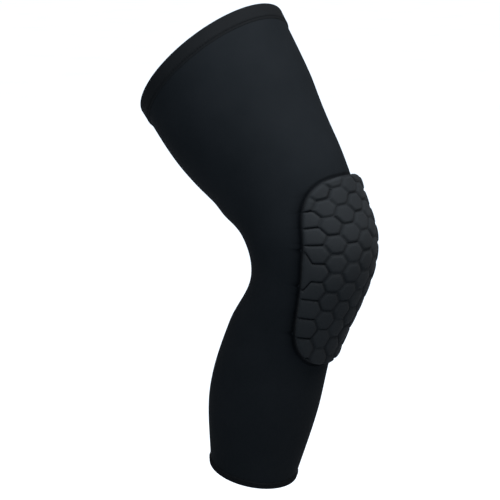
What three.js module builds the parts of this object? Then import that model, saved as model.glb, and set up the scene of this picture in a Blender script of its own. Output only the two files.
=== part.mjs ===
// Padded knee sleeve, in millimetres, +Z up. A knitted tube for one bent leg, open at thigh and
// calf, a folded hem at each end, and a honeycomb foam pad over the kneecap. The origin is the
// middle of the knee, inside the hollow. The knee points along +X and Y runs across the leg.
// "At" is a distance along the leg from the knee, up the thigh as positive, down the calf as
// negative. "Round" is the angle about the leg from the front. "Lift" is a distance out from the
// knitted surface.

import * as THREE from 'three';

// Leg that the sleeve is cut for
const THIGH_LENGTH = 201.5;
const CALF_LENGTH = 265;
const THIGH_LEAN = 44;
const CALF_LEAN = -12;
const BEND_ABOVE_KNEE = 112;
const BEND_BELOW_KNEE = 50;
const THIGH_DEPTH = 175;
const THIGH_WIDTH = 166;
const KNEE_DEPTH = 132.5;
const KNEE_WIDTH = 117.5;
const CALF_DEPTH = 92;
const CALF_WIDTH = 90.5;

// Cross-sections from the knee out to each opening. Along is a share of that side's length. Depth
// and width run from the knee's size at 0 to the opening's at 1. Forward moves the section
// towards the shin side, as a share of the knee's depth.
const THIGH_SECTIONS = [
  { along: 0.00, depth: 0.00, width: 0.00, forward: 0.080 },
  { along: 0.14, depth: 0.13, width: 0.06, forward: -0.018 },
  { along: 0.36, depth: 0.25, width: 0.30, forward: -0.055 },
  { along: 0.66, depth: 0.74, width: 0.82, forward: -0.031 },
  { along: 1.00, depth: 1.00, width: 1.00, forward: 0.030 },
];
const CALF_SECTIONS = [
  { along: 0.18, depth: 0.63, width: 0.32, forward: 0.121 },
  { along: 0.40, depth: 0.54, width: 0.36, forward: 0.007 },
  { along: 0.70, depth: 0.39, width: 0.28, forward: -0.047 },
  { along: 1.00, depth: 1.00, width: 1.00, forward: -0.025 },
];

// Knitted wall and hems
const WALL = 1.5;
const HEM_PLY = 1.0;
const FOLD_CLEARANCE = 0.3;
const THIGH_HEM_WIDTH = 16;
const CALF_HEM_WIDTH = 7;

// Honeycomb pad. The widest row lies PAD_CENTRE along the front of the leg from the knee. Above
// it the pad narrows by PAD_TAPER_UP of its width before its corners round off.
const PAD_WIDTH = 129;
const PAD_LENGTH_UP = 85;
const PAD_LENGTH_DOWN = 116;
const PAD_CENTRE = -18;
const PAD_TAPER_UP = 0.18;
const PAD_ROUNDNESS_UP = 3.5;
const PAD_ROUNDNESS_DOWN = 2.4;
const PAD_CLEARANCE = 0.7;
const PAD_EDGE_LIFT = 5.8;
const PAD_GROOVE_LIFT = 6.3;
const PAD_SHOULDER_LIFT = 8.1;
const PAD_CROWN_LIFT = 8.8;
const CELL_PITCH = 19.1;
const CELL_PHASE = 19.8;
const GROOVE_WIDTH = 4.4;
const CROWN_RUN = 1.9;

// Cells that the outline cuts small stand lower: a cell is full height where its middle is this
// share of the pitch from its nearest side, and its shoulder and crown keep these least shares
const FULL_CELL_REACH = 0.45;
const LEAST_SHOULDER = 0.4;
const LEAST_CROWN = 0.25;

// Fineness of the faceted surfaces
const STEPS_AROUND = 40;
const STEPS_ALONG = 34;
const OUTLINE_STEPS = 44;
const CENTRE_LINE_STEPS = 240;
const ARC_STEPS = 90;
const WELD = 0.2;

const SLEEVE_COLOUR = 0x1b1d21;
const HEM_COLOUR = 0x202226;
const PAD_COLOUR = 0x2b2f34;

function mix(from, to, share) {
  return from + (to - from) * share;
}

// Reads a rising table between its rows by a smooth curve through them
function readTable(table, key, column, value) {
  let row = 0;
  while (row < table.length - 2 && value > table[row + 1][key]) row += 1;
  const slope = (i) => (table[i + 1][column] - table[i][column]) / (table[i + 1][key] - table[i][key]);
  const tangent = (i) => {
    if (i === 0) return slope(0);
    if (i === table.length - 1) return slope(i - 1);
    const before = table[i][key] - table[i - 1][key];
    const after = table[i + 1][key] - table[i][key];
    return (slope(i - 1) * after + slope(i) * before) / (before + after);
  };
  const start = table[row];
  const end = table[row + 1];
  const span = end[key] - start[key];
  const t = (value - start[key]) / span;
  const square = t * t;
  const cube = square * t;
  return (2 * cube - 3 * square + 1) * start[column]
    + (cube - 2 * square + t) * span * tangent(row)
    + (3 * square - 2 * cube) * end[column]
    + (cube - square) * span * tangent(row + 1);
}

// Turns both tables of shares into one table of half-sizes along the leg
function legTable() {
  const measured = (row, sideLength, depth, width) => ({
    at: row.along * sideLength,
    halfDepth: mix(KNEE_DEPTH, depth, row.depth) / 2,
    halfWidth: mix(KNEE_WIDTH, width, row.width) / 2,
    forward: row.forward * KNEE_DEPTH,
  });
  const calf = CALF_SECTIONS.map((row) => measured(row, -CALF_LENGTH, CALF_DEPTH, CALF_WIDTH));
  const thigh = THIGH_SECTIONS.map((row) => measured(row, THIGH_LENGTH, THIGH_DEPTH, THIGH_WIDTH));
  return [...calf.reverse(), ...thigh];
}

const LEG = legTable();

function leanAt(at) {
  const share = THREE.MathUtils.smoothstep(at, -BEND_BELOW_KNEE, BEND_ABOVE_KNEE);
  return THREE.MathUtils.degToRad(mix(CALF_LEAN, THIGH_LEAN, share));
}

// Middle line of the leg, walked in short steps from the knee both ways
function centreLine() {
  const walk = (end) => {
    const points = [{ at: 0, x: 0, z: 0 }];
    const step = end / CENTRE_LINE_STEPS;
    for (let i = 0; i < CENTRE_LINE_STEPS; i += 1) {
      const { at, x, z } = points[i];
      const lean = leanAt(at + step / 2);
      points.push({ at: at + step, x: x - step * Math.sin(lean), z: z + step * Math.cos(lean) });
    }
    return points;
  };
  return [...walk(-CALF_LENGTH).slice(1).reverse(), ...walk(THIGH_LENGTH)];
}

const CENTRE = centreLine();

function readLine(line, key, value) {
  let low = 0;
  let high = line.length - 1;
  while (high - low > 1) {
    const middle = (low + high) >> 1;
    if (line[middle][key] <= value) low = middle;
    else high = middle;
  }
  const share = (value - line[low][key]) / (line[high][key] - line[low][key]);
  const read = {};
  for (const name of Object.keys(line[low])) read[name] = mix(line[low][name], line[high][name], share);
  return read;
}

// Point on or over the knitted surface
function legPoint(at, round, lift) {
  const centre = readLine(CENTRE, 'at', at);
  const lean = leanAt(at);
  const halfDepth = readTable(LEG, 'at', 'halfDepth', at) + lift;
  const halfWidth = readTable(LEG, 'at', 'halfWidth', at) + lift;
  const forward = readTable(LEG, 'at', 'forward', at) + halfDepth * Math.cos(round);
  return new THREE.Vector3(
    centre.x + forward * Math.cos(lean),
    halfWidth * Math.sin(round),
    centre.z + forward * Math.sin(lean),
  );
}

function solid(points, triangles) {
  const geometry = new THREE.BufferGeometry();
  const numbers = points.flatMap(({ x, y, z }) => [x, y, z]);
  geometry.setAttribute('position', new THREE.Float32BufferAttribute(numbers, 3));
  geometry.setIndex(triangles.flat());
  geometry.computeVertexNormals();
  return geometry;
}

// Carries a closed profile of places along the leg and lifts once round the leg
function band(profile) {
  const points = [];
  const triangles = [];
  const corner = (i, j) => (i % profile.length) * STEPS_AROUND + (j % STEPS_AROUND);
  for (const { at, lift } of profile) {
    for (let j = 0; j < STEPS_AROUND; j += 1) {
      points.push(legPoint(at, (j / STEPS_AROUND) * 2 * Math.PI, lift));
    }
  }
  for (let i = 0; i < profile.length; i += 1) {
    for (let j = 0; j < STEPS_AROUND; j += 1) {
      triangles.push([corner(i, j), corner(i, j + 1), corner(i + 1, j + 1)]);
      triangles.push([corner(i, j), corner(i + 1, j + 1), corner(i + 1, j)]);
    }
  }
  return solid(points, triangles);
}

// The sleeve stops short of the fold inside each hem
function sleeve() {
  const low = -CALF_LENGTH + HEM_PLY + FOLD_CLEARANCE;
  const high = THIGH_LENGTH - HEM_PLY - FOLD_CLEARANCE;
  const outside = [];
  for (let i = 0; i <= STEPS_ALONG; i += 1) outside.push({ at: mix(low, high, i / STEPS_ALONG), lift: 0 });
  const inside = outside.map(({ at }) => ({ at, lift: -WALL })).reverse();
  return band([...outside, ...inside]);
}

// A strip folded over the sleeve's raw edge: one ply outside, one inside, joined by the fold
function hem(edge, width, step) {
  const inner = -WALL - FOLD_CLEARANCE;
  const outer = FOLD_CLEARANCE;
  const fold = edge - step * HEM_PLY;
  const mouth = edge - step * width;
  const profile = [
    { at: mouth, lift: outer + HEM_PLY },
    { at: mix(mouth, edge, 0.5), lift: outer + HEM_PLY },
    { at: edge, lift: outer + HEM_PLY },
    { at: edge, lift: inner - HEM_PLY },
    { at: mix(mouth, edge, 0.5), lift: inner - HEM_PLY },
    { at: mouth, lift: inner - HEM_PLY },
    { at: mouth, lift: inner },
    { at: mix(mouth, fold, 0.5), lift: inner },
    { at: fold, lift: inner },
    { at: fold, lift: outer },
    { at: mix(mouth, fold, 0.5), lift: outer },
    { at: mouth, lift: outer },
  ];
  return band(step > 0 ? profile : profile.reverse());
}

// Half of the pad's width at a distance along the front of the leg from its widest row
function padHalfWidth(along) {
  const length = along > 0 ? PAD_LENGTH_UP : PAD_LENGTH_DOWN;
  const roundness = along > 0 ? PAD_ROUNDNESS_UP : PAD_ROUNDNESS_DOWN;
  const taper = along > 0 ? PAD_TAPER_UP : 0;
  const share = Math.abs(along / length);
  return (PAD_WIDTH / 2) * (1 - taper * share) * (1 - share ** roundness) ** (1 / roundness);
}

// Outline of the flat pad, counter-clockwise, across the leg and along it
function padOutline() {
  const points = [];
  for (let i = 0; i < OUTLINE_STEPS; i += 1) {
    const turn = (i / OUTLINE_STEPS) * 2 * Math.PI;
    const length = Math.sin(turn) > 0 ? PAD_LENGTH_UP : PAD_LENGTH_DOWN;
    const along = length * Math.sin(turn);
    const half = padHalfWidth(along);
    points.push(new THREE.Vector2(Math.sign(Math.cos(turn)) * half, PAD_CENTRE + along));
  }
  return points;
}

// Keeps the part of a convex polygon on the left of the line from a to b
function clipByLine(polygon, a, b) {
  const side = (p) => (b.x - a.x) * (p.y - a.y) - (b.y - a.y) * (p.x - a.x);
  const kept = [];
  polygon.forEach((point, i) => {
    const next = polygon[(i + 1) % polygon.length];
    const here = side(point);
    const there = side(next);
    if (here >= 0) kept.push(point);
    if ((here > 0 && there < 0) || (here < 0 && there > 0)) {
      kept.push(point.clone().lerp(next, here / (here - there)));
    }
  });
  return kept;
}

function hexagon(x, y) {
  const radius = CELL_PITCH / Math.sqrt(3);
  return Array.from({ length: 6 }, (_, i) => {
    const turn = (i * Math.PI) / 3;
    return new THREE.Vector2(x + radius * Math.cos(turn), y + radius * Math.sin(turn));
  });
}

// Cells in straight columns along the leg, cut off flat by the pad's outline
function padCells() {
  const outline = padOutline();
  const columnStep = (CELL_PITCH * Math.sqrt(3)) / 2;
  const columns = Math.ceil(PAD_WIDTH / 2 / columnStep) + 1;
  const rows = Math.ceil((PAD_LENGTH_UP + PAD_LENGTH_DOWN) / CELL_PITCH) + 1;
  const cells = [];
  for (let column = -columns; column <= columns; column += 1) {
    for (let row = -rows; row <= rows; row += 1) {
      const shift = column % 2 === 0 ? 0 : CELL_PITCH / 2;
      let cell = hexagon(column * columnStep, CELL_PHASE + shift + row * CELL_PITCH);
      outline.forEach((corner, i) => {
        cell = clipByLine(cell, corner, outline[(i + 1) % outline.length]);
      });
      if (cell.length > 2) cells.push(cell);
    }
  }
  return cells;
}

// Lays a flat point of the pad on the leg: along its front, then round it. Widths are measured
// round the knee, and the pad stretches and narrows with the leg's girth above and below it.
function makeWrap() {
  const along = [];
  let total = 0;
  let last = legPoint(CENTRE[0].at, 0, 0);
  for (const { at } of CENTRE) {
    const point = legPoint(at, 0, 0);
    total += point.distanceTo(last);
    along.push({ at, length: total });
    last = point;
  }
  const knee = readLine(along, 'at', 0).length;
  const around = [{ round: 0, length: 0 }];
  for (let i = 1; i <= ARC_STEPS; i += 1) {
    const round = (i / ARC_STEPS) * Math.PI;
    const before = around[i - 1];
    const step = legPoint(0, round, 0).distanceTo(legPoint(0, before.round, 0));
    around.push({ round, length: before.length + step });
  }
  return (flat, lift) => {
    const { at } = readLine(along, 'length', knee + flat.y);
    const { round } = readLine(around, 'length', Math.abs(flat.x));
    return legPoint(at, Math.sign(flat.x) * round, lift);
  };
}

// One solid: a base that follows the leg, and a domed cell between soft grooves on every tile
function kneePad() {
  const wrap = makeWrap();
  const flat = [];
  const shared = (point) => {
    const found = flat.findIndex((other) => other.distanceTo(point) < WELD);
    if (found >= 0) return found;
    flat.push(point);
    return flat.length - 1;
  };
  const tiles = padCells()
    .map((cell) => cell.map(shared))
    .map((tile) => tile.filter((index, i) => index !== tile[(i + 1) % tile.length]))
    .filter((tile) => tile.length > 2);

  const borders = new Map();
  for (const tile of tiles) {
    tile.forEach((from, i) => {
      const to = tile[(i + 1) % tile.length];
      if (!borders.delete(`${to} ${from}`)) borders.set(`${from} ${to}`, [from, to]);
    });
  }
  const onEdge = new Set([...borders.values()].flat());

  const points = flat.map((point, i) => wrap(point, onEdge.has(i) ? PAD_EDGE_LIFT : PAD_GROOVE_LIFT));
  const floor = points.length;
  flat.forEach((point) => points.push(wrap(point, PAD_CLEARANCE)));
  const triangles = [];

  for (const tile of tiles) {
    const corners = tile.map((index) => flat[index]);
    const middle = corners.reduce((sum, p) => sum.add(p), new THREE.Vector2()).divideScalar(corners.length);
    const reach = Math.min(...corners.map((a, i) => {
      const b = corners[(i + 1) % corners.length];
      return Math.abs((b.x - a.x) * (middle.y - a.y) - (b.y - a.y) * (middle.x - a.x)) / a.distanceTo(b);
    }));
    const fullness = Math.min(1, reach / (FULL_CELL_REACH * CELL_PITCH));
    const shoulderInset = GROOVE_WIDTH / 2;
    const rings = [
      { inset: shoulderInset, least: LEAST_SHOULDER, lift: PAD_SHOULDER_LIFT },
      { inset: shoulderInset + CROWN_RUN, least: LEAST_CROWN, lift: PAD_CROWN_LIFT },
    ];
    let outer = tile;
    for (const { inset, least, lift } of rings) {
      const share = Math.max(least, 1 - inset / reach);
      const ring = corners.map((corner) => {
        points.push(wrap(middle.clone().lerp(corner, share), mix(PAD_GROOVE_LIFT, lift, fullness)));
        return points.length - 1;
      });
      ring.forEach((inner, i) => {
        const next = (i + 1) % ring.length;
        triangles.push([outer[i], outer[next], ring[next]], [outer[i], ring[next], inner]);
      });
      outer = ring;
    }
    points.push(wrap(middle, mix(PAD_GROOVE_LIFT, PAD_CROWN_LIFT, fullness)));
    const crown = points.length - 1;
    points.push(wrap(middle, PAD_CLEARANCE));
    const foot = points.length - 1;
    tile.forEach((from, i) => {
      const to = (i + 1) % tile.length;
      triangles.push([outer[i], outer[to], crown], [floor + tile[to], floor + from, foot]);
    });
  }
  for (const [from, to] of borders.values()) {
    triangles.push([to, from, floor + from], [to, floor + from, floor + to]);
  }
  return solid(points, triangles);
}

function piece(name, geometry, color, roughness) {
  const mesh = new THREE.Mesh(geometry, new THREE.MeshStandardMaterial({ color, roughness, metalness: 0 }));
  mesh.name = name;
  return mesh;
}

const sleeveGroup = new THREE.Group();
sleeveGroup.add(piece('sleeve', sleeve(), SLEEVE_COLOUR, 0.85));
sleeveGroup.add(piece('thigh_hem', hem(THIGH_LENGTH, THIGH_HEM_WIDTH, 1), HEM_COLOUR, 0.85));
sleeveGroup.add(piece('calf_hem', hem(-CALF_LENGTH, CALF_HEM_WIDTH, -1), HEM_COLOUR, 0.85));
sleeveGroup.add(piece('knee_pad', kneePad(), PAD_COLOUR, 0.8));

export default sleeveGroup;
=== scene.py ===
import math

import bpy
import numpy as np
from mathutils import Matrix, Vector


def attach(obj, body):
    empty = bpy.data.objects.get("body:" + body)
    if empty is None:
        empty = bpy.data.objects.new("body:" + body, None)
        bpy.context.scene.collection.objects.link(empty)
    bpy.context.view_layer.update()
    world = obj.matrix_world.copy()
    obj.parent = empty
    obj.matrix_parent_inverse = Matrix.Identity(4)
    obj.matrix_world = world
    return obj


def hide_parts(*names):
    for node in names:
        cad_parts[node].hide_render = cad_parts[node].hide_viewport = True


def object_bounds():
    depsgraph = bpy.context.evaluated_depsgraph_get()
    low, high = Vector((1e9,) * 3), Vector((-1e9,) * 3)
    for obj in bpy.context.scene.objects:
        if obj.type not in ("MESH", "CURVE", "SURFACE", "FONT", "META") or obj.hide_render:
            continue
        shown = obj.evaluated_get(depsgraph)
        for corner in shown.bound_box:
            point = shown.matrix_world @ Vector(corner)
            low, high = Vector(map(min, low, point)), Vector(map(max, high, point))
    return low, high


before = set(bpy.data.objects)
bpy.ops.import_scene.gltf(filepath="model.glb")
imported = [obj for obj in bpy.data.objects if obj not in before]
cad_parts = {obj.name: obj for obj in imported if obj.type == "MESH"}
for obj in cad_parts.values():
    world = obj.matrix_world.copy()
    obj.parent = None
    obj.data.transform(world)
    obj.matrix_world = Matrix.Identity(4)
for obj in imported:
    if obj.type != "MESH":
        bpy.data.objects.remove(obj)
cad_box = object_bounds()

# Lengths are in millimetres and angles in degrees until a mesh is made. "At" is a distance along
# the leg from the knee, up the thigh as positive. "Turn" is the angle about the leg from the
# front. "Lift" is a distance out from the knitted surface.
MM = 0.001

# Camera: the direction that the photograph looks along, and where the knee's middle falls in it
IMAGE_SIZE = 500
VIEW_AZIMUTH = 38.0
VIEW_ELEVATION = 12.5
VIEW_DISTANCE = 1500.0
KNEE_PIXEL_X = 296.4
KNEE_PIXEL_Y = 233.6
SENSOR_WIDTH = 36.0
CLIP_END = 100.0

# One pixel of the photograph is one millimetre at the knee
FOCAL_PIXELS = VIEW_DISTANCE

# Leg that the sleeve is worn on, as in the frame
THIGH_LENGTH = 201.5
CALF_LENGTH = 265.0
THIGH_LEAN = 44.0
CALF_LEAN = -12.0
BEND_ABOVE_KNEE = 112.0
BEND_BELOW_KNEE = 50.0
THIGH_DEPTH = 175.0
THIGH_WIDTH = 166.0
KNEE_DEPTH = 132.5
KNEE_WIDTH = 117.5
CALF_DEPTH = 92.0
CALF_WIDTH = 90.5

# Rows: along, depth, width, forward. Depth and width run from the knee's size at 0 to the
# opening's at 1, and forward is a share of the knee's depth.
THIGH_SECTIONS = (
    (0.00, 0.00, 0.00, 0.080),
    (0.14, 0.13, 0.06, -0.018),
    (0.36, 0.25, 0.30, -0.055),
    (0.66, 0.74, 0.82, -0.031),
    (1.00, 1.00, 1.00, 0.030),
)
CALF_SECTIONS = (
    (0.18, 0.63, 0.32, 0.121),
    (0.40, 0.54, 0.36, 0.007),
    (0.70, 0.39, 0.28, -0.047),
    (1.00, 1.00, 1.00, -0.025),
)

# Knit and hems
WALL = 1.5
HEM_PLY = 1.0
FOLD_CLEARANCE = 0.3
THIGH_HEM_WIDTH = 16.0
CALF_HEM_WIDTH = 7.0

# A hem thins out over a ramp, to a mouth that lies close to the knit. Its corners are rounded by
# a share of the ply, and its face starts a little above the ply's inner side.
HEM_RAMP = 2.6
HEM_MOUTH_PLY = 0.35
HEM_MOUTH_LIFT = 0.06
HEM_CORNER = 0.45
HEM_FACE_START = 0.2

# Ripple that the stitches pull into a hem
HEM_RIPPLE = 0.10
HEM_RIPPLE_WIDTH = 2.5

# Slow waves round a hem: height, then waves round the leg and phase of the two that make it
HEM_WAVE = 0.18
HEM_WAVE_SHORT = (5, 0.8)
HEM_WAVE_LONG = (3, 2.1)

# Stitches: capsules of thread that lie in a groove along the hem's free edge
STITCH_INSET = 2.6
STITCH_GROOVE = 0.25
STITCH_GROOVE_WIDTH = 0.9
STITCH_PITCH = 3.2
STITCH_LENGTH = 2.3
STITCH_RADIUS = 0.32
STITCH_SINK = 0.55
STITCH_BOW = 0.18
STITCH_END = 0.92

# Honeycomb pad
PAD_WIDTH = 129.0
PAD_LENGTH_UP = 85.0
PAD_LENGTH_DOWN = 118.0
PAD_CENTRE = -18.0
PAD_TAPER_UP = 0.18
PAD_ROUNDNESS_UP = 3.5
PAD_ROUNDNESS_DOWN = 2.4
PAD_BASE_LIFT = 0.15
PAD_FOOT_LIFT = 0.35
PAD_WALL_LIFT = 4.4
PAD_EDGE_RADIUS = 3.2
PAD_SHOULDER_LIFT = 8.3
PAD_CROWN_LIFT = 8.9
CELL_PITCH = 19.1
CELL_PHASE = 19.8
CELL_CORNER = 10.0
COLUMN_STEP = CELL_PITCH * math.sqrt(3) / 2

# Directions from a cell's middle to its three pairs of sides: along the leg, then slanting
CELL_NORMALS = ((0.0, 1.0), (math.sqrt(3) / 2, 0.5), (math.sqrt(3) / 2, -0.5))

# The flank that slopes down to the knit is wide at the pad's sides and steep at its top
FLANK_WIDTH = 2.2
FLANK_WIDTH_TOP = 1.2
FLANK_TOP_FROM = 25.0
FLANK_TOP_TO = 62.0
FLANK_CURVE = 1.5

# Knit beside the pad: a crease at the flank's foot, puckers that run on from the side grooves,
# a few of them hard, both dented in and also darkened with painted shade, and a band of painted
# shadow beside the pad's sides, which is colour only
CREASE_DEPTH = 0.9
CREASE_WIDTH = 1.3
CREASE_OUT = 0.8
# Painted shade: how dark the crease is made
CREASE_SHADE = 0.75
PUCKER_DEPTH = 0.9
PUCKER_WIDTH = 1.8
PUCKER_REACH = 5.0
# Painted shade: how dark the puckers are made
PUCKER_SHADE = 0.7
PUCKER_HARD = 1.6
PUCKER_FAINT = 0.4
HARD_PUCKER_ROWS = (-2, -3, -6)
# Painted shadow beside the pad's sides: how far out it reaches and how dark it is
PAINTED_SHADOW_REACH = 7.0
PAINTED_SHADOW_DARKNESS = 0.6
RELIEF_UNDER_PAD = 3.0

# Distances from the pad's middle line over which its sides begin
SIDE_FROM = 30.0
SIDE_TO = 52.0

# Cells of the outermost columns run straight out to the pad's sides
OUTER_COLUMN = 3

# The pattern widens a little toward both of its ends, and leans to one side below the knee
PATTERN_START = -2.9
PATTERN_GROWTH = 0.00094
PATTERN_LEAN = 20.0
PATTERN_LEAN_POWER = 1.5
PATTERN_LEAN_FROM = -50.0
PATTERN_LEAN_REACH = 89.0

# One cell at the left side spreads along the pad's edge, over the corners of its neighbours
WIDE_CELL_ROW = -3
WIDE_CELL_UP = 0.65
WIDE_CELL_DOWN = 0.55

# Grooves between cells: most are broad and shallow, some are pinched into sharp lines
SOFT_FLOOR = 0.2
SOFT_HALF_WIDTH = 3.1
SOFT_DEPTH = 1.15
SOFT_GIVES_WAY = 0.35
SHARP_HALF_WIDTH = 1.25
SHARP_DEPTH = 3.0

# How much of a soft groove there is at least, and what chance adds to it
FAINT_LEAST = 0.55
FAINT_SPREAD = 0.65

# Grooves across the leg are pinched at the pad's sides. So are most slanting ones there, less
# hard, and any other groove is pinched a little, by chance.
SLANT_PINCH = 0.55
SLANT_SPARED = 0.45
STRAY_PINCH = 0.45
FLANK_PINCH = 0.45

# Chance differences between cells, in height and in shade
CELL_HEIGHT_SPREAD = 0.4
CELL_SHADE_SPREAD = 0.16

# Painted shade on the cover: how dark it is made in the grooves and down the flank
SOFT_SHADE = 0.30
SOFT_SHADE_GIVES_WAY = 0.3
SHARP_SHADE = 0.45
FLANK_SHADE_FROM = -1.6
FLANK_SHADE_TO = 0.5

# Weights and scale of the sine that gives fixed random numbers
RANDOM_WEIGHTS = (12.9898, 78.233, 37.719)
RANDOM_SCALE = 43758.5453

# Knit pattern, in millimetres and shares of the bump
WALE_PITCH = 0.9
COURSE_PITCH = 0.7
LOOP_SLANT = 3.0
RIB_HEIGHT = 0.8
LOOP_HEIGHT = 0.35
FUZZ_HEIGHT = 0.5
LOOP_RELIEF = 0.12

# Uneven dye: fine fuzz and broad blotches, as scales and shares
FUZZ_SCALE = 900.0
FUZZ_DETAIL = 2.0
FUZZ_SHARE = 0.4
BLOTCH_SCALE = 28.0
BLOTCH_DETAIL = 4.0
BLOTCH_SHARE = 0.6
DARK_STOP = 0.3
LIGHT_STOP = 0.7

# Surface of every knit
ROUGHNESS_SPREAD = 0.12
SHEEN_ROUGHNESS = 0.45
SPECULAR = 0.004

# Looks: the dye's dark and light, the painted shade colour (fold), roughness, sheen and bump
KNIT_LOOK = {
    "dark": (0.0027, 0.0036, 0.0045),
    "light": (0.0037, 0.0047, 0.0058),
    "fold": (0.0010, 0.0014, 0.0019),
    "roughness": 0.75,
    "sheen": 0.002,
    "bump": 0.35,
}
HEM_LOOK = {
    "dark": (0.0028, 0.0034, 0.0040),
    "light": (0.0036, 0.0043, 0.0050),
    "fold": (0.0026, 0.0032, 0.0038),
    "roughness": 0.75,
    "sheen": 0.003,
    "bump": 0.35,
}
THREAD_LOOK = {**HEM_LOOK, "roughness": 0.65, "bump": 0.2}
PAD_LOOK = {
    "dark": (0.0060, 0.0073, 0.0085),
    "light": (0.0073, 0.0087, 0.0100),
    "fold": (0.0011, 0.0015, 0.0020),
    "roughness": 0.68,
    "sheen": 0.006,
    "bump": 0.3,
}

# Floor and lights, in metres
FLOOR_DROP = 0.75
FLOOR_SIZE = 60.0
FLOOR_DARK = (0.80, 0.80, 0.80)
FLOOR_LIGHT = (0.84, 0.84, 0.84)
FLOOR_NOISE_SCALE = 2.0
FLOOR_ROUGHNESS = 0.9
WORLD_COLOR = (0.96, 0.98, 1.0, 1.0)
WORLD_STRENGTH = 0.20
SUN_FROM = (0.08, 0.05, 1.00)
SUN_STRENGTH = 3.8
SUN_SOFTNESS = 35.0
SUN_COLOR = (0.90, 1.00, 1.12)
KEY_FROM = (0.48, -0.08, 0.87)
KEY_DISTANCE = 1.05
KEY_SIZE = 0.8
KEY_STRENGTH = 37.0
KEY_COLOR = (1.12, 1.00, 0.92)
FILL_FROM = (0.25, -0.75, 0.60)
FILL_DISTANCE = 0.8
FILL_SIZE = 0.5
FILL_STRENGTH = 7.6
FILL_COLOR = (0.98, 1.00, 1.04)

# Mesh fineness
SLEEVE_ROWS_NEAR_PAD = 250
SLEEVE_ROWS_ELSEWHERE = 100
SLEEVE_ROWS_INSIDE = 56
SLEEVE_COLUMNS = 220
SLEEVE_CROWDING = 0.42
HEM_COLUMNS = 540
PAD_ROWS = 380
PAD_COLUMNS = 190
PAD_BASE_COLUMNS = 9
PAD_ROW_CROWDING = 0.55
PAD_COLUMN_CROWDING = 0.25
PAD_END = 0.9994
SLEEVE_ROWS_MARGIN = 8.0
HEM_MESH_STEP = 0.8
STITCH_STATIONS = 5
STITCH_SIDES = 6
OUTLINE_POINTS = 480
OUTLINE_CHUNK = 4000
CENTRE_STEPS = 2000
ARC_STEPS = 720
RING_STEPS = 4000


# Leg surface

def leg_table():
    """Rows from the calf's opening to the thigh's: at, half depth, half width, forward."""
    def rows(sections, side, depth, width):
        table = np.array(sections)
        return np.stack([
            table[:, 0] * side,
            (KNEE_DEPTH + (depth - KNEE_DEPTH) * table[:, 1]) / 2,
            (KNEE_WIDTH + (width - KNEE_WIDTH) * table[:, 2]) / 2,
            table[:, 3] * KNEE_DEPTH,
        ], axis=1)

    calf = rows(CALF_SECTIONS, -CALF_LENGTH, CALF_DEPTH, CALF_WIDTH)
    thigh = rows(THIGH_SECTIONS, THIGH_LENGTH, THIGH_DEPTH, THIGH_WIDTH)
    return np.concatenate([calf[::-1], thigh])


LEG = leg_table()


def read_leg(column, at):
    """Reads one column of the leg's table at any place, by a smooth curve through its rows."""
    xs, ys = LEG[:, 0], LEG[:, column]
    span = np.diff(xs)
    slope = np.diff(ys) / span
    tangent = np.empty(len(xs))
    tangent[0], tangent[-1] = slope[0], slope[-1]
    tangent[1:-1] = (slope[:-1] * span[1:] + slope[1:] * span[:-1]) / (span[:-1] + span[1:])
    row = np.clip(np.searchsorted(xs, at) - 1, 0, len(xs) - 2)
    t = (at - xs[row]) / span[row]
    return ((2 * t**3 - 3 * t**2 + 1) * ys[row] + (t**3 - 2 * t**2 + t) * span[row] * tangent[row]
            + (3 * t**2 - 2 * t**3) * ys[row + 1] + (t**3 - t**2) * span[row] * tangent[row + 1])


def smoothstep(low, high, value):
    """Goes from 0 to 1 in a soft step as value goes from low to high."""
    t = np.clip((value - low) / (high - low), 0, 1)
    return t * t * (3 - 2 * t)


def lean_at(at):
    """The leg's lean from upright, in radians."""
    share = smoothstep(-BEND_BELOW_KNEE, BEND_ABOVE_KNEE, at)
    return np.radians(CALF_LEAN + (THIGH_LEAN - CALF_LEAN) * share)


def centre_line():
    """The leg's bent middle line, through the origin at the knee."""
    at = np.linspace(-CALF_LENGTH, THIGH_LENGTH, CENTRE_STEPS)
    lean = lean_at((at[1:] + at[:-1]) / 2)
    step = np.diff(at)
    x = np.concatenate([[0], np.cumsum(-step * np.sin(lean))])
    z = np.concatenate([[0], np.cumsum(step * np.cos(lean))])
    return at, x - np.interp(0, at, x), z - np.interp(0, at, z)


CENTRE_AT, CENTRE_X, CENTRE_Z = centre_line()


def leg_point(at, turn, lift):
    """The place in space of any place on the leg, at any lift from it."""
    at, turn, lift = np.broadcast_arrays(at, turn, lift)
    lean = lean_at(at)
    forward = read_leg(3, at) + (read_leg(1, at) + lift) * np.cos(turn)
    return np.stack([
        np.interp(at, CENTRE_AT, CENTRE_X) + forward * np.cos(lean),
        (read_leg(2, at) + lift) * np.sin(turn),
        np.interp(at, CENTRE_AT, CENTRE_Z) + forward * np.sin(lean),
    ], axis=-1)


def path_lengths(points):
    """Length travelled along a path at each of its points."""
    return np.concatenate([[0], np.cumsum(np.linalg.norm(np.diff(points, axis=0), axis=1))])


def front_lengths():
    """Lengths along the leg's front from the knee to each place of the centre line."""
    lengths = path_lengths(leg_point(CENTRE_AT, 0.0, 0.0))
    return lengths - np.interp(0, CENTRE_AT, lengths)


FRONT_LENGTH = front_lengths()
KNEE_TURN = np.linspace(0, math.pi, ARC_STEPS)
KNEE_GIRTH = path_lengths(leg_point(0.0, KNEE_TURN, 0.0))


def pad_to_leg(across, along):
    """Flat pad coordinates to places on the leg; widths are measured round the knee."""
    at = np.interp(along, FRONT_LENGTH, CENTRE_AT)
    turn = np.sign(across) * np.interp(np.abs(across), KNEE_GIRTH, KNEE_TURN)
    return at, turn


def leg_to_pad(at, turn):
    """Places on the leg to flat pad coordinates, the reverse of pad_to_leg."""
    across = np.sign(turn) * np.interp(np.abs(turn), KNEE_TURN, KNEE_GIRTH)
    return across, np.interp(at, CENTRE_AT, FRONT_LENGTH)


# Mesh making

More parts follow.
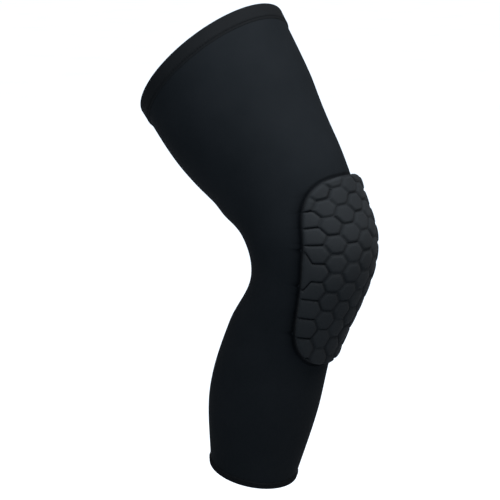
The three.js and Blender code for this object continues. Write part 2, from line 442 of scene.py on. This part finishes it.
def new_object(name, points, faces, uvs=None, shade=None):
    """Makes a smooth mesh from points in millimetres. uvs holds a pair of coordinates for each
    face corner, and shade the painted shade at each point, by which the material turns to its
    fold colour, a painted shade colour."""
    mesh = bpy.data.meshes.new(name)
    mesh.from_pydata((np.asarray(points) * MM).tolist(), [], faces)
    mesh.polygons.foreach_set("use_smooth", [True] * len(mesh.polygons))
    if uvs is not None:
        layer = mesh.uv_layers.new(name="knit")
        layer.data.foreach_set("uv", (np.asarray(uvs) * MM).ravel())
    if shade is not None:
        layer = mesh.attributes.new("shade", "FLOAT", "POINT")
        layer.data.foreach_set("value", np.asarray(shade, float).ravel())
    mesh.update()
    made = bpy.data.objects.new(name, mesh)
    bpy.context.scene.collection.objects.link(made)
    return made


def band(name, ats, lifts, columns, relief, crowding=0.0):
    """Sweeps a closed profile of (at, lift) once round the leg. relief(at, turn, lift) gives what
    to add to the lift and how much painted shade the place gets, and crowding brings the columns
    closer together at the front."""
    ats, lifts = np.asarray(ats, float), np.asarray(lifts, float)
    turn = np.arange(columns) / columns * 2 * math.pi
    turn = turn - crowding * np.sin(turn)
    signed_turn = (turn + math.pi) % (2 * math.pi) - math.pi
    added, shade = relief(ats[:, None], signed_turn[None, :], lifts[:, None])
    points = leg_point(ats[:, None], turn[None, :], lifts[:, None] + added).reshape(-1, 3)
    rows = len(ats)
    i, j = np.meshgrid(np.arange(rows), np.arange(columns), indexing="ij")
    i, j = i.ravel(), j.ravel()
    below, right = (i + 1) % rows, (j + 1) % columns
    faces = np.stack([i * columns + j, i * columns + right, below * columns + right,
                      below * columns + j], axis=1)
    travel = np.concatenate([[0], np.cumsum(np.hypot(np.diff(ats), np.diff(lifts)))])
    girth = 2 * math.pi * float(np.mean(read_leg(1, ats)))
    share = np.append(turn, 2 * math.pi) / (2 * math.pi)
    u = np.stack([share[j], share[j + 1], share[j + 1], share[j]], axis=1) * girth
    v = np.stack([travel[i], travel[i], travel[below], travel[below]], axis=1)
    uvs = np.stack([u, v], axis=-1).reshape(-1, 2)
    return new_object(name, points, faces.tolist(), uvs, shade)


# The pad's outline and pattern, which the sleeve follows too

def pad_half_width(along, margin=0.0, margin_up=0.0, margin_down=0.0):
    """Half of the pad's width at a distance from its widest row; margins enlarge the outline."""
    upward = along > 0
    length = np.where(upward, PAD_LENGTH_UP + margin_up, PAD_LENGTH_DOWN + margin_down)
    power = np.where(upward, PAD_ROUNDNESS_UP, PAD_ROUNDNESS_DOWN)
    share = np.clip(np.abs(along) / length, 0, 1)
    taper = 1 - np.where(upward, PAD_TAPER_UP, 0.0) * share
    return (PAD_WIDTH / 2 + margin) * taper * (1 - share ** power) ** (1 / power)


def pad_outline():
    """The pad's outline as flat points, once round."""
    turn = np.arange(OUTLINE_POINTS) / OUTLINE_POINTS * 2 * math.pi
    along = np.where(np.sin(turn) > 0, PAD_LENGTH_UP, PAD_LENGTH_DOWN) * np.sin(turn)
    return np.stack([np.sign(np.cos(turn)) * pad_half_width(along), along + PAD_CENTRE], axis=1)


OUTLINE = pad_outline()


def outline_distance(across, along):
    """Distance from flat points to the pad's outline, positive inside it."""
    flat = np.stack([np.ravel(across), np.ravel(along)], axis=1)
    nearest = np.empty(len(flat))
    for start in range(0, len(flat), OUTLINE_CHUNK):
        part = flat[start:start + OUTLINE_CHUNK]
        gaps = part[:, None, :] - OUTLINE[None, :, :]
        nearest[start:start + OUTLINE_CHUNK] = np.sqrt((gaps ** 2).sum(-1).min(1))
    inside = np.abs(flat[:, 0]) < pad_half_width(flat[:, 1] - PAD_CENTRE)
    return np.where(inside, nearest, -nearest).reshape(np.shape(across))


def flank_width(along):
    """How far the pad's flank reaches out over the knit."""
    share = smoothstep(FLANK_TOP_FROM, FLANK_TOP_TO, along)
    return FLANK_WIDTH + (FLANK_WIDTH_TOP - FLANK_WIDTH) * share


def cell_random(x, y, salt):
    """A fixed random number from 0 to 1 for any place in the pattern."""
    by_x, by_y, by_salt = RANDOM_WEIGHTS
    value = np.sin(np.round(x) * by_x + np.round(y) * by_y + salt * by_salt) * RANDOM_SCALE
    return value - np.floor(value)


def pattern_place(across, along):
    """Where a flat point of the pad lies in the even honeycomb."""
    below = np.clip((PATTERN_LEAN_FROM - along) / PATTERN_LEAN_REACH, 0, None)
    x = across - PATTERN_LEAN * below ** PATTERN_LEAN_POWER
    y = PATTERN_START + along + PATTERN_GROWTH * along ** 2
    middle = CELL_PHASE + (WIDE_CELL_ROW + 0.5) * CELL_PITCH
    corner = CELL_PITCH / (2 * math.sqrt(3))
    out = np.clip((-x - OUTER_COLUMN * COLUMN_STEP) / corner - 1, 0, 1)
    place = (y - middle) / CELL_PITCH
    spread = out * np.where(place > 0, WIDE_CELL_UP, WIDE_CELL_DOWN)
    size = np.abs(place)
    inner = size * 0.5 / (0.5 + spread)
    outer = 0.5 + (size - 0.5 - spread) / (1 - spread)
    bent = np.where(size < 0.5 + spread, inner, np.where(size < 1.5, outer, size))
    return x, middle + np.sign(place) * bent * CELL_PITCH


# Sleeve

def sleeve_relief(at, turn, lift):
    """A crease where the knit meets the pad's flank, and short puckers at the pad's sides that
    run on from its grooves, both also darkened with painted shade, and a band of painted shadow
    beside the pad's sides. Gives the added lift and the painted shade."""
    at, turn, lift = np.broadcast_arrays(at, turn, lift)
    across, along = leg_to_pad(at, turn)
    outside = -outline_distance(across, along) - flank_width(along)
    crease = np.exp(-((outside - CREASE_OUT) / CREASE_WIDTH) ** 2)
    row = (pattern_place(across, along)[1] - CELL_PHASE) / CELL_PITCH
    to_groove = (row - np.round(row)) * CELL_PITCH
    side = smoothstep(SIDE_FROM, SIDE_TO, np.abs(across))
    reach = np.exp(-np.clip(outside, 0, None) / PUCKER_REACH)
    strength = np.where(np.isin(np.round(row), HARD_PUCKER_ROWS), PUCKER_HARD, PUCKER_FAINT)
    pucker = strength * side * reach * np.exp(-(to_groove / PUCKER_WIDTH) ** 2)
    painted_shadow = side * np.exp(-(np.clip(outside, 0, None) / PAINTED_SHADOW_REACH) ** 2)
    near = (lift > -WALL / 2) & (outside > -RELIEF_UNDER_PAD)
    added = np.where(near, -CREASE_DEPTH * crease - PUCKER_DEPTH * pucker, 0.0)
    # Painted shade in the crease and puckers, and painted shadow beside the pad's sides
    dark = CREASE_SHADE * crease + PUCKER_SHADE * pucker + PAINTED_SHADOW_DARKNESS * painted_shadow
    return added, np.where(near, np.clip(dark, 0, 1), 0.0)


def sleeve_rows(low, high):
    """Places along the leg, closer together where the pad's edge runs over the knit."""
    ends = (PAD_CENTRE - PAD_LENGTH_DOWN - SLEEVE_ROWS_MARGIN,
            PAD_CENTRE + PAD_LENGTH_UP + SLEEVE_ROWS_MARGIN)
    pad_low, pad_high = (float(np.interp(end, FRONT_LENGTH, CENTRE_AT)) for end in ends)
    below = int(SLEEVE_ROWS_ELSEWHERE * (pad_low - low) / (high - low - (pad_high - pad_low)))
    return np.concatenate([
        np.linspace(low, pad_low, below, endpoint=False),
        np.linspace(pad_low, pad_high, SLEEVE_ROWS_NEAR_PAD, endpoint=False),
        np.linspace(pad_high, high, SLEEVE_ROWS_ELSEWHERE - below),
    ])


def make_sleeve():
    """The knitted tube, with its raw edges inside the hems."""
    low = -CALF_LENGTH + HEM_PLY + FOLD_CLEARANCE
    high = THIGH_LENGTH - HEM_PLY - FOLD_CLEARANCE
    outside = sleeve_rows(low, high)
    inside = np.linspace(high, low, SLEEVE_ROWS_INSIDE)
    ats = np.concatenate([outside, inside])
    lifts = np.concatenate([np.zeros(len(outside)), np.full(len(inside), -WALL)])
    made = band("sleeve_knit", ats, lifts, SLEEVE_COLUMNS, sleeve_relief, SLEEVE_CROWDING)
    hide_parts("sleeve")
    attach(made, "root")
    return made


# Hems

def rounded(points, radius, steps=4):
    """Rounds the corners of a closed outline of (at, lift) points."""
    out = []
    count = len(points)
    for k in range(count):
        before, here, after = (np.array(points[(k + d) % count], float) for d in (-1, 0, 1))
        start = here + (before - here) * min(0.5, radius / np.linalg.norm(before - here))
        end = here + (after - here) * min(0.5, radius / np.linalg.norm(after - here))
        for s in range(steps + 1):
            t = s / steps
            out.append((1 - t) ** 2 * start + 2 * t * (1 - t) * here + t ** 2 * end)
    return out


def refined(points, longest):
    """Splits the sides of a closed outline into pieces no longer than longest."""
    out = []
    for k, here in enumerate(points):
        after = points[(k + 1) % len(points)]
        pieces = max(1, int(np.ceil(np.linalg.norm(after - here) / longest)))
        out += [here + (after - here) * s / pieces for s in range(pieces)]
    return np.array(out)


def hem_profile(edge, width, step):
    """The closed outline of a strip folded over the sleeve's raw edge. step is 1 where the edge
    is the upper one and -1 where it is the lower one."""
    inner = -WALL - FOLD_CLEARANCE
    outer = FOLD_CLEARANCE
    fold = edge - step * HEM_PLY
    mouth = edge - step * width
    ramp = mouth + step * HEM_RAMP
    corners = [(ramp, outer + HEM_PLY), (edge, outer + HEM_PLY), (edge, inner - HEM_PLY),
               (mouth, inner - HEM_PLY), (mouth, inner), (fold, inner), (fold, outer),
               (mouth, HEM_MOUTH_LIFT), (mouth, HEM_MOUTH_LIFT + HEM_MOUTH_PLY)]
    profile = refined(rounded(corners, HEM_CORNER * HEM_PLY), HEM_MESH_STEP)
    return profile if step > 0 else profile[::-1]


def round_wave(turn, count, phase):
    """A wave that fits a whole number of times round the leg."""
    return np.sin(count * turn + phase)


def make_hem(name, node, edge, width, step):
    """A folded hem with a stitch groove, a ripple between the stitches and slow waves, and
    painted shade along the stitch groove.
    """
    profile = hem_profile(edge, width, step)
    seam = edge - step * (width - STITCH_INSET)
    outer_face = FOLD_CLEARANCE + HEM_PLY
    girth = math.pi * (THIGH_DEPTH if step > 0 else CALF_DEPTH)
    stitch_count = round(girth / STITCH_PITCH)

    def relief(at, turn, lift):
        at, turn, lift = np.broadcast_arrays(at, turn, lift)
        face = smoothstep(FOLD_CLEARANCE + HEM_FACE_START, outer_face, lift)
        groove = np.exp(-((at - seam) / STITCH_GROOVE_WIDTH) ** 2)
        beside = np.exp(-((at - seam) / HEM_RIPPLE_WIDTH) ** 2)
        ripple = HEM_RIPPLE * np.cos(turn * stitch_count) * beside
        wave = round_wave(turn, *HEM_WAVE_SHORT) * round_wave(turn, *HEM_WAVE_LONG)
        wave = HEM_WAVE * wave * smoothstep(0, width, np.abs(at - edge))
        # The second value is painted shade along the stitch groove
        return face * (ripple + wave - STITCH_GROOVE * groove), face * groove

    made = band(name, profile[:, 0], profile[:, 1], HEM_COLUMNS, relief)
    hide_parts(node)
    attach(made, "root")
    return made


def make_stitches(name, edge, width, step):
    """A row of short thread capsules lying in the hem's stitch groove."""
    seam = edge - step * (width - STITCH_INSET)
    ring = np.linspace(0, 2 * math.pi, RING_STEPS)
    travelled = path_lengths(leg_point(seam, ring, 0.0))
    girth = travelled[-1]
    count = int(girth / STITCH_PITCH)
    span = np.linspace(-1, 1, STITCH_STATIONS)
    lift = FOLD_CLEARANCE + HEM_PLY - STITCH_GROOVE * STITCH_SINK + STITCH_BOW * (1 - span ** 2)
    radii = STITCH_RADIUS * np.sqrt(1 - (STITCH_END * span) ** 2)
    points, faces = [], []
    for k in range(count):
        along = (k + 0.5) * girth / count + span * STITCH_LENGTH / 2
        turn = np.interp(along % girth, travelled, ring)
        middles = leg_point(seam, turn, lift)
        outs = leg_point(seam, turn, lift + 1.0) - middles
        sides = leg_point(seam + 1.0, turn, lift) - middles
        base = len(points)
        for middle, out, side, radius in zip(middles, outs, sides, radii):
            for q in range(STITCH_SIDES):
                a = 2 * math.pi * q / STITCH_SIDES
                points.append(middle + radius * (math.cos(a) * out + math.sin(a) * side))
        for s in range(STITCH_STATIONS - 1):
            ring_base = base + s * STITCH_SIDES
            for q in range(STITCH_SIDES):
                r = (q + 1) % STITCH_SIDES
                faces.append([ring_base + q, ring_base + r,
                              ring_base + STITCH_SIDES + r, ring_base + STITCH_SIDES + q])
        last = base + (STITCH_STATIONS - 1) * STITCH_SIDES
        faces.append([base + q for q in reversed(range(STITCH_SIDES))])
        faces.append([last + q for q in range(STITCH_SIDES)])
    made = new_object(name, points, faces)
    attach(made, "root")
    return made


# Knee pad

def cell_fields(across, along):
    """For flat points: the distance to the nearest groove's middle line, that groove's middle
    point, whether it runs across the leg, and the middle of the cell that they lie in."""
    shape = np.shape(across)
    found = {key: np.zeros(shape) for key in ("x", "y", "groove_x", "groove_y", "level")}
    reach = np.full(shape, np.inf)
    soft = np.zeros(shape)
    nearest = np.round(across / COLUMN_STEP)
    for d in (-1, 0, 1):
        column = nearest + d
        shift = np.where(column % 2 == 0, 0.0, CELL_PITCH / 2)
        x = column * COLUMN_STEP
        y = CELL_PHASE + shift + np.round((along - CELL_PHASE - shift) / CELL_PITCH) * CELL_PITCH
        dots = [(across - x) * nx + (along - y) * ny for nx, ny in CELL_NORMALS]
        sizes = np.abs(np.stack(dots))
        outermost = np.abs(column) >= OUTER_COLUMN
        beyond = np.abs(across) > np.abs(x)
        sizes[1:] = np.where(outermost & beyond, 0.0, sizes[1:])
        sizes = np.where(np.abs(column) > OUTER_COLUMN, np.inf, sizes)
        most = sizes.argmax(0)
        closer = sizes.max(0) < reach
        reach = np.where(closer, sizes.max(0), reach)
        soft = np.where(closer, (sizes ** CELL_CORNER).sum(0) ** (1 / CELL_CORNER), soft)
        toward = np.sign(np.take_along_axis(np.stack(dots), most[None], 0)[0]) * CELL_PITCH / 2
        normals = np.array(CELL_NORMALS)[most]
        values = {"x": x, "y": y, "groove_x": x + toward * normals[..., 0],
                  "groove_y": y + toward * normals[..., 1], "level": (most == 0).astype(float)}
        for key, value in values.items():
            found[key] = np.where(closer, value, found[key])
    return CELL_PITCH / 2 - soft, found


def pad_surface(across, along):
    """Height of the pad's outer face over the knit, and the cover's painted shade there, with a
    random tone per cell.
    """
    to_groove, cell = cell_fields(*pattern_place(across, along))
    to_groove = np.clip(to_groove, 0, None)
    side = smoothstep(SIDE_FROM, SIDE_TO, np.abs(cell["groove_x"]))
    chance = cell_random(cell["groove_x"], cell["groove_y"], 1.0)
    slant = SLANT_PINCH * side * (chance > SLANT_SPARED)
    pinch = np.clip(cell["level"] * side + slant + STRAY_PINCH * chance ** 2, 0, 1)
    faint = FAINT_LEAST + FAINT_SPREAD * cell_random(cell["groove_x"], cell["groove_y"], 3.0)
    soft = faint * (1 - smoothstep(SOFT_FLOOR, SOFT_HALF_WIDTH, to_groove))
    sharp = pinch * (1 - smoothstep(0.0, SHARP_HALF_WIDTH, to_groove))
    depth = SOFT_DEPTH * soft * (1 - SOFT_GIVES_WAY * pinch) + (SHARP_DEPTH - SOFT_DEPTH) * sharp
    dome = 1 - (1 - np.clip(to_groove / (CELL_PITCH / 2), 0, 1)) ** 2
    unlike = cell_random(cell["x"], cell["y"], 2.0) - 0.5
    top = PAD_SHOULDER_LIFT + (PAD_CROWN_LIFT - PAD_SHOULDER_LIFT) * dome
    body = top + CELL_HEIGHT_SPREAD * unlike - depth

    inside = outline_distance(across, along)
    edge = np.sqrt(1 - (1 - np.clip(inside / PAD_EDGE_RADIUS, 0, 1)) ** 2)
    crest = PAD_WALL_LIFT + (body - PAD_WALL_LIFT) * edge
    down = np.clip(-inside / flank_width(along), 0, 1)
    kept = (1 - down) ** FLANK_CURVE * (1 - FLANK_PINCH * sharp * side)
    flank = PAD_FOOT_LIFT + (PAD_WALL_LIFT - PAD_FOOT_LIFT) * kept
    lift = np.where(inside > 0, crest, flank)

    # Painted shade in the grooves and down the flank, plus a random tone per cell
    dark = SOFT_SHADE * soft * (1 - SOFT_SHADE_GIVES_WAY * pinch) + SHARP_SHADE * sharp
    dark = np.maximum(dark, 1 - smoothstep(FLANK_SHADE_FROM, FLANK_SHADE_TO, inside))
    return lift, np.clip(dark + CELL_SHADE_SPREAD * unlike, 0, 1)


def crowded(count, share):
    """Places from -1 to 1 that come closer together toward both ends."""
    even = np.linspace(-1, 1, count)
    return (1 - share) * even + share * np.sin(even * math.pi / 2)


def grid_faces(rows, columns, first=0, flipped=False):
    """Four-sided faces over a grid of points that starts at number first."""
    i, j = np.meshgrid(np.arange(rows - 1), np.arange(columns - 1), indexing="ij")
    corner = (first + i * columns + j).ravel()
    faces = np.stack([corner, corner + 1, corner + columns + 1, corner + columns], axis=1)
    return faces[:, ::-1] if flipped else faces


def make_pad():
    """The honeycomb pad: an outer face, a plain base on the knit and a thin rim between them."""
    sweep = crowded(PAD_ROWS, PAD_ROW_CROWDING) * PAD_END
    reach_up = PAD_LENGTH_UP + FLANK_WIDTH_TOP
    reach_down = PAD_LENGTH_DOWN + FLANK_WIDTH
    along = np.where(sweep > 0, reach_up, reach_down) * sweep
    half = pad_half_width(along, FLANK_WIDTH, FLANK_WIDTH_TOP, FLANK_WIDTH)
    along = along + PAD_CENTRE

    def sheet(columns):
        spread = crowded(columns, PAD_COLUMN_CROWDING)
        return half[:, None] * spread[None, :], np.repeat(along[:, None], columns, axis=1)

    across, alongs = sheet(PAD_COLUMNS)
    at, turn = pad_to_leg(across, alongs)
    lift, dark = pad_surface(across, alongs)
    top = leg_point(at, turn, lift).reshape(-1, 3)
    base_across, base_along = sheet(PAD_BASE_COLUMNS)
    base_at, base_turn = pad_to_leg(base_across, base_along)
    base = leg_point(base_at, base_turn, PAD_BASE_LIFT).reshape(-1, 3)

    first = len(top)
    row = np.arange(PAD_ROWS - 1)
    left, base_left = row * PAD_COLUMNS, first + row * PAD_BASE_COLUMNS
    right, base_right = left + PAD_COLUMNS - 1, base_left + PAD_BASE_COLUMNS - 1
    faces = np.concatenate([
        grid_faces(PAD_ROWS, PAD_COLUMNS),
        grid_faces(PAD_ROWS, PAD_BASE_COLUMNS, first, flipped=True),
        np.stack([left, left + PAD_COLUMNS, base_left + PAD_BASE_COLUMNS, base_left], axis=1),
        np.stack([right, base_right, base_right + PAD_BASE_COLUMNS, right + PAD_COLUMNS], axis=1),
    ]).tolist()
    last, base_last = first - PAD_COLUMNS, first + len(base) - PAD_BASE_COLUMNS
    faces.append([*reversed(range(PAD_COLUMNS)), *range(first, first + PAD_BASE_COLUMNS)])
    faces.append([*range(last, first), *reversed(range(base_last, base_last + PAD_BASE_COLUMNS))])

    flat = np.stack([np.append(across, base_across), np.append(alongs, base_along)], axis=1)
    uvs = flat[np.concatenate([np.array(face) for face in faces])]
    # Painted shade, full, over the hidden base on the knit
    shade = np.append(dark, np.ones(base_across.size))
    made = new_object("honeycomb_pad", np.concatenate([top, base]), faces, uvs, shade)
    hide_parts("knee_pad")
    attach(made, "root")
    return made


# Materials

class Nodes:
    """Short calls for building one material's node tree."""

    def __init__(self, name):
        self.material = bpy.data.materials.new(name)
        self.material.use_nodes = True
        self.tree = self.material.node_tree
        self.shader = self.tree.nodes["Principled BSDF"]

    def node(self, kind, **values):
        made = self.tree.nodes.new(kind)
        for key, value in values.items():
            setattr(made, key, value)
        return made

    def link(self, source, target):
        self.tree.links.new(source, target)

    def math(self, operation, first, second=None):
        made = self.node("ShaderNodeMath", operation=operation)
        for socket, value in zip(made.inputs, (first, second)):
            if value is None:
                continue
            if isinstance(value, (int, float)):
                socket.default_value = value
            else:
                self.link(value, socket)
        return made.outputs[0]

    def noise(self, vector, scale, detail=3.0):
        made = self.node("ShaderNodeTexNoise")
        made.inputs["Scale"].default_value = scale
        made.inputs["Detail"].default_value = detail
        self.link(vector, made.inputs["Vector"])
        return made.outputs["Fac"]

    def ramp(self, factor, stops):
        made = self.node("ShaderNodeValToRGB")
        elements = made.color_ramp.elements
        while len(elements) < len(stops):
            elements.new(0.5)
        for element, (place, color) in zip(elements, stops):
            element.position = place
            element.color = (*color, 1.0)
        self.link(factor, made.inputs["Fac"])
        return made.outputs["Color"]


def knit_material(name, dark, light, fold, roughness, sheen, bump):
    """A fine jersey knit: V-shaped loops in columns along the leg, over soft uneven dyeing. fold
    is the painted shade colour that the cloth turns to where its painted shade is full."""
    n = Nodes(name)
    uv = n.node("ShaderNodeUVMap", uv_map="knit")
    split = n.node("ShaderNodeSeparateXYZ")
    n.link(uv.outputs["UV"], split.inputs[0])
    wale = n.math("MULTIPLY", split.outputs["X"], 2 * math.pi / (WALE_PITCH * MM))
    slope = n.math("ABSOLUTE", n.math("SINE", n.math("MULTIPLY", wale, 0.5)))
    course = n.math("MULTIPLY", split.outputs["Y"], 2 * math.pi / (COURSE_PITCH * MM))
    chevron = n.math("SINE", n.math("ADD", course, n.math("MULTIPLY", slope, LOOP_SLANT)))
    rib = n.math("MULTIPLY", slope, RIB_HEIGHT)
    height = n.math("ADD", rib, n.math("MULTIPLY", chevron, LOOP_HEIGHT))

    place = n.node("ShaderNodeTexCoord").outputs["Object"]
    fuzz = n.noise(place, FUZZ_SCALE, FUZZ_DETAIL)
    blotch = n.noise(place, BLOTCH_SCALE, BLOTCH_DETAIL)
    dye = n.math("ADD", n.math("MULTIPLY", blotch, BLOTCH_SHARE),
                 n.math("MULTIPLY", fuzz, FUZZ_SHARE))
    color = n.ramp(dye, [(DARK_STOP, dark), (LIGHT_STOP, light)])
    # Painted shade: the shade attribute mixes the dye toward the fold colour
    painted_shade_amount = n.node("ShaderNodeAttribute", attribute_name="shade").outputs["Fac"]
    mixed = n.node("ShaderNodeMix", data_type="RGBA")
    n.link(painted_shade_amount, mixed.inputs["Factor"])
    n.link(color, mixed.inputs["A"])
    mixed.inputs["B"].default_value = (*fold, 1.0)
    n.link(mixed.outputs["Result"], n.shader.inputs["Base Color"])
    gloss = n.math("ADD", n.math("MULTIPLY", blotch, ROUGHNESS_SPREAD),
                   roughness - ROUGHNESS_SPREAD / 2)
    n.link(gloss, n.shader.inputs["Roughness"])
    n.shader.inputs["Sheen Weight"].default_value = sheen
    n.shader.inputs["Sheen Roughness"].default_value = SHEEN_ROUGHNESS
    n.shader.inputs["Specular IOR Level"].default_value = SPECULAR

    relief = n.node("ShaderNodeBump")
    relief.inputs["Strength"].default_value = bump
    relief.inputs["Distance"].default_value = LOOP_RELIEF * MM
    n.link(n.math("ADD", height, n.math("MULTIPLY", fuzz, FUZZ_HEIGHT)), relief.inputs["Height"])
    n.link(relief.outputs["Normal"], n.shader.inputs["Normal"])
    return n.material


def floor_material():
    """A plain pale floor with hardly any variation."""
    n = Nodes("pale_floor")
    place = n.node("ShaderNodeTexCoord").outputs["Object"]
    uneven = n.noise(place, FLOOR_NOISE_SCALE)
    color = n.ramp(uneven, [(DARK_STOP, FLOOR_DARK), (LIGHT_STOP, FLOOR_LIGHT)])
    n.link(color, n.shader.inputs["Base Color"])
    n.shader.inputs["Roughness"].default_value = FLOOR_ROUGHNESS
    return n.material


# Camera, lights and floor

def view_axes():
    """The camera's right, up and back."""
    azimuth, elevation = math.radians(VIEW_AZIMUTH), math.radians(VIEW_ELEVATION)
    right = Vector((math.cos(azimuth), math.sin(azimuth), 0.0))
    back = Vector((math.sin(azimuth) * math.cos(elevation),
                   -math.cos(azimuth) * math.cos(elevation), math.sin(elevation)))
    return right, back.cross(right), back


def make_camera():
    """A camera that sees the knee's middle at its pixel in the photograph."""
    right, up, back = view_axes()
    middle = IMAGE_SIZE / 2
    aside = (KNEE_PIXEL_X - middle) * VIEW_DISTANCE / FOCAL_PIXELS
    above = (middle - KNEE_PIXEL_Y) * VIEW_DISTANCE / FOCAL_PIXELS
    place = (back * VIEW_DISTANCE - right * aside - up * above) * MM
    data = bpy.data.cameras.new("camera")
    data.sensor_width = SENSOR_WIDTH
    data.lens = FOCAL_PIXELS / IMAGE_SIZE * SENSOR_WIDTH
    data.clip_end = CLIP_END
    made = bpy.data.objects.new("camera", data)
    made.matrix_world = Matrix.Translation(place) @ Matrix((right, up, back)).transposed().to_4x4()
    bpy.context.scene.collection.objects.link(made)
    bpy.context.scene.camera = made


def add_light(name, kind, come_from, distance, strength, color, **values):
    """A light that points at the knee from a direction."""
    data = bpy.data.lights.new(name, kind)
    data.energy = strength
    data.color = color
    for key, value in values.items():
        setattr(data, key, value)
    made = bpy.data.objects.new(name, data)
    toward = Vector(come_from).normalized()
    turned = toward.to_track_quat("Z", "Y").to_matrix().to_4x4()
    made.matrix_world = Matrix.Translation(toward * distance) @ turned
    bpy.context.scene.collection.objects.link(made)


def make_studio():
    """A wide pale floor under soft overhead light, with a key at the front and a fill."""
    mesh = bpy.data.meshes.new("floor")
    half = FLOOR_SIZE / 2
    z = cad_box[0][2] - FLOOR_DROP
    mesh.from_pydata([(-half, -half, z), (half, -half, z), (half, half, z), (-half, half, z)],
                     [], [(0, 1, 2, 3)])
    floor = bpy.data.objects.new("floor", mesh)
    floor.data.materials.append(floor_material())
    bpy.context.scene.collection.objects.link(floor)

    add_light("overhead", "SUN", SUN_FROM, 0.0, SUN_STRENGTH, SUN_COLOR,
              angle=math.radians(SUN_SOFTNESS))
    add_light("soft_key", "AREA", KEY_FROM, KEY_DISTANCE, KEY_STRENGTH, KEY_COLOR, size=KEY_SIZE)
    add_light("side_fill", "AREA", FILL_FROM, FILL_DISTANCE, FILL_STRENGTH, FILL_COLOR,
              size=FILL_SIZE)

    world = bpy.data.worlds.new("studio")
    world.use_nodes = True
    sky = world.node_tree.nodes["Background"]
    sky.inputs["Color"].default_value = WORLD_COLOR
    sky.inputs["Strength"].default_value = WORLD_STRENGTH
    bpy.context.scene.world = world
    bpy.context.scene.view_settings.view_transform = "Standard"


make_camera()
make_studio()

sleeve = make_sleeve()
thigh_hem = make_hem("thigh_hem_knit", "thigh_hem", THIGH_LENGTH, THIGH_HEM_WIDTH, 1)
calf_hem = make_hem("calf_hem_knit", "calf_hem", -CALF_LENGTH, CALF_HEM_WIDTH, -1)
thigh_stitches = make_stitches("thigh_hem_stitches", THIGH_LENGTH, THIGH_HEM_WIDTH, 1)
calf_stitches = make_stitches("calf_hem_stitches", -CALF_LENGTH, CALF_HEM_WIDTH, -1)
pad = make_pad()

knit = knit_material("knit", **KNIT_LOOK)
hem_knit = knit_material("hem_knit", **HEM_LOOK)
pad_knit = knit_material("pad_knit", **PAD_LOOK)
thread = knit_material("thread", **THREAD_LOOK)
for piece, material in ((sleeve, knit), (thigh_hem, hem_knit), (calf_hem, hem_knit),
                        (thigh_stitches, thread), (calf_stitches, thread), (pad, pad_knit)):
    piece.data.materials.append(material)
